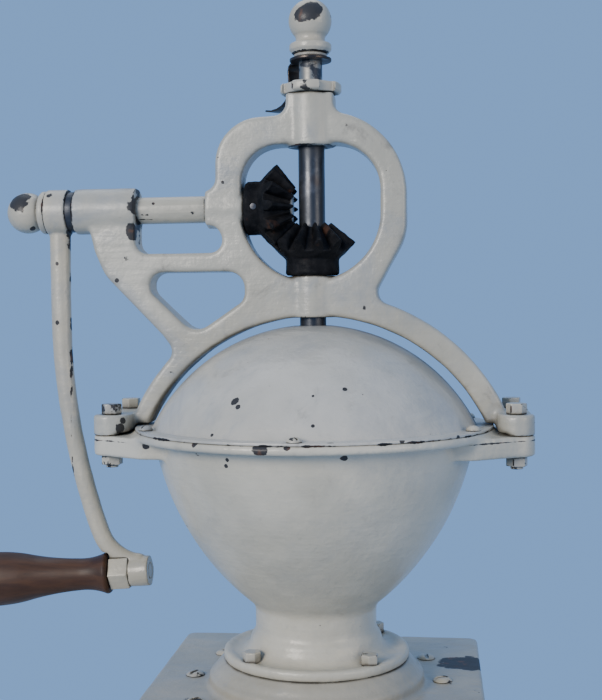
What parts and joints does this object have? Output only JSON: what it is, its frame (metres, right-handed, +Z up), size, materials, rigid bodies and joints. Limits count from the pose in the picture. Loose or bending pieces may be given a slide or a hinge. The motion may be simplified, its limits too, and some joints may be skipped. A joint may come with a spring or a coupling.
{
  "type": "hand crank coffee mill",
  "caption": "Upright hand-cranked coffee mill: painted iron hopper and dome on a box with a drawer, a ring-shaped yoke with mitre gears above, a side crank and a turned wooden handle.",
  "frame": {"origin": "centre of the underside of the box, on the grinding spindle axis, at table level", "axes": "+Z up along the spindle, X along the crank shaft with the crank at -X, -Y is the front with the drawer"},
  "size_m": [0.3963, 0.248, 0.5725],
  "materials": {
    "cream_paint": "gloss",
    "painted_wood": "gloss paint",
    "bare_wood": "matte",
    "black_iron": "oily",
    "dark_steel": "satin",
    "turned_wood": "varnished"
  },
  "bodies": {
    "base": {"bottom_board": "painted_wood", "left_side_board": "painted_wood", "right_side_board": "painted_wood", "back_board": "painted_wood", "front_board": "painted_wood", "drawer_runners": "bare_wood", "top_plate": "cream_paint", "plate_screws": "cream_paint", "left_cleat": "bare_wood", "right_cleat": "bare_wood", "lower_guide_bar": "black_iron", "guide_bar_screws": "dark_steel", "hopper_bowl": "cream_paint", "flange_bolts": "cream_paint", "outer_burr": "black_iron", "hopper_dome": "cream_paint", "dome_screws": "cream_paint", "yoke_frame": "cream_paint", "lug_bolts": "cream_paint", "lug_nuts": "cream_paint"},
    "drawer": {"drawer_front": "painted_wood", "drawer_tray": "bare_wood", "drawer_knob": "turned_wood", "knob_screw": "dark_steel"},
    "shutter": {"dome_shutter": "cream_paint", "shutter_knob": "cream_paint"},
    "crank": {"crank_arm": "cream_paint", "crank_shaft": "cream_paint", "crank_washer": "dark_steel", "crank_ball_nut": "cream_paint", "drive_gear": "black_iron", "drive_gear_pin": "dark_steel", "handle_pin": "cream_paint", "handle_end_cap": "dark_steel"},
    "grip": {"wood_handle": "turned_wood"},
    "driven_wheel": {"driven_gear": "black_iron", "gear_key": "dark_steel"},
    "adjuster": {"adjusting_nut": "cream_paint"},
    "spindle_set": {"spindle": "dark_steel", "burr_nut": "black_iron", "inner_burr": "black_iron", "locking_spring": "dark_steel", "finial_washer": "cream_paint", "finial_nut": "cream_paint"}
  },
  "joints": [
    {"name": "crank_turn", "type": "hinge", "parent": "base", "child": "crank", "pos_m": [0, 0, 0.439], "axis": [1, 0, 0], "continuous": true},
    {"name": "grip_spin", "type": "hinge", "parent": "crank", "child": "grip", "pos_m": [-0.1173, 0, 0.2003], "axis": [-0.9976, 0, -0.0698], "continuous": true},
    {"name": "driven_turn", "type": "hinge", "parent": "base", "child": "driven_wheel", "pos_m": [0, 0, 0.439], "axis": [0, 0, 1], "continuous": true},
    {"name": "adjusting_nut_turn", "type": "hinge", "parent": "driven_wheel", "child": "adjuster", "pos_m": [0, 0, 0.512], "axis": [0, 0, 1], "range_deg": [-360, 90], "deforming": ["locking_spring"]},
    {"name": "spindle_lift", "type": "slide", "parent": "driven_wheel", "child": "spindle_set", "axis": [0, 0, 1], "range_m": [-0.0005, 0.002]},
    {"name": "drawer_slide", "type": "slide", "parent": "base", "child": "drawer", "axis": [0, -1, 0], "range_m": [0, 0.18]},
    {"name": "shutter_turn", "type": "hinge", "parent": "base", "child": "shutter", "pos_m": [0, 0, 0.3], "axis": [0, 0, 1], "range_deg": [0, 78]}
  ],
  "couplings": [
    {"joint": "driven_turn", "follows": "crank_turn", "ratio": -1},
    {"joint": "adjusting_nut_turn", "follows": "spindle_lift", "rad_per_m": -3141.6}
  ]
}
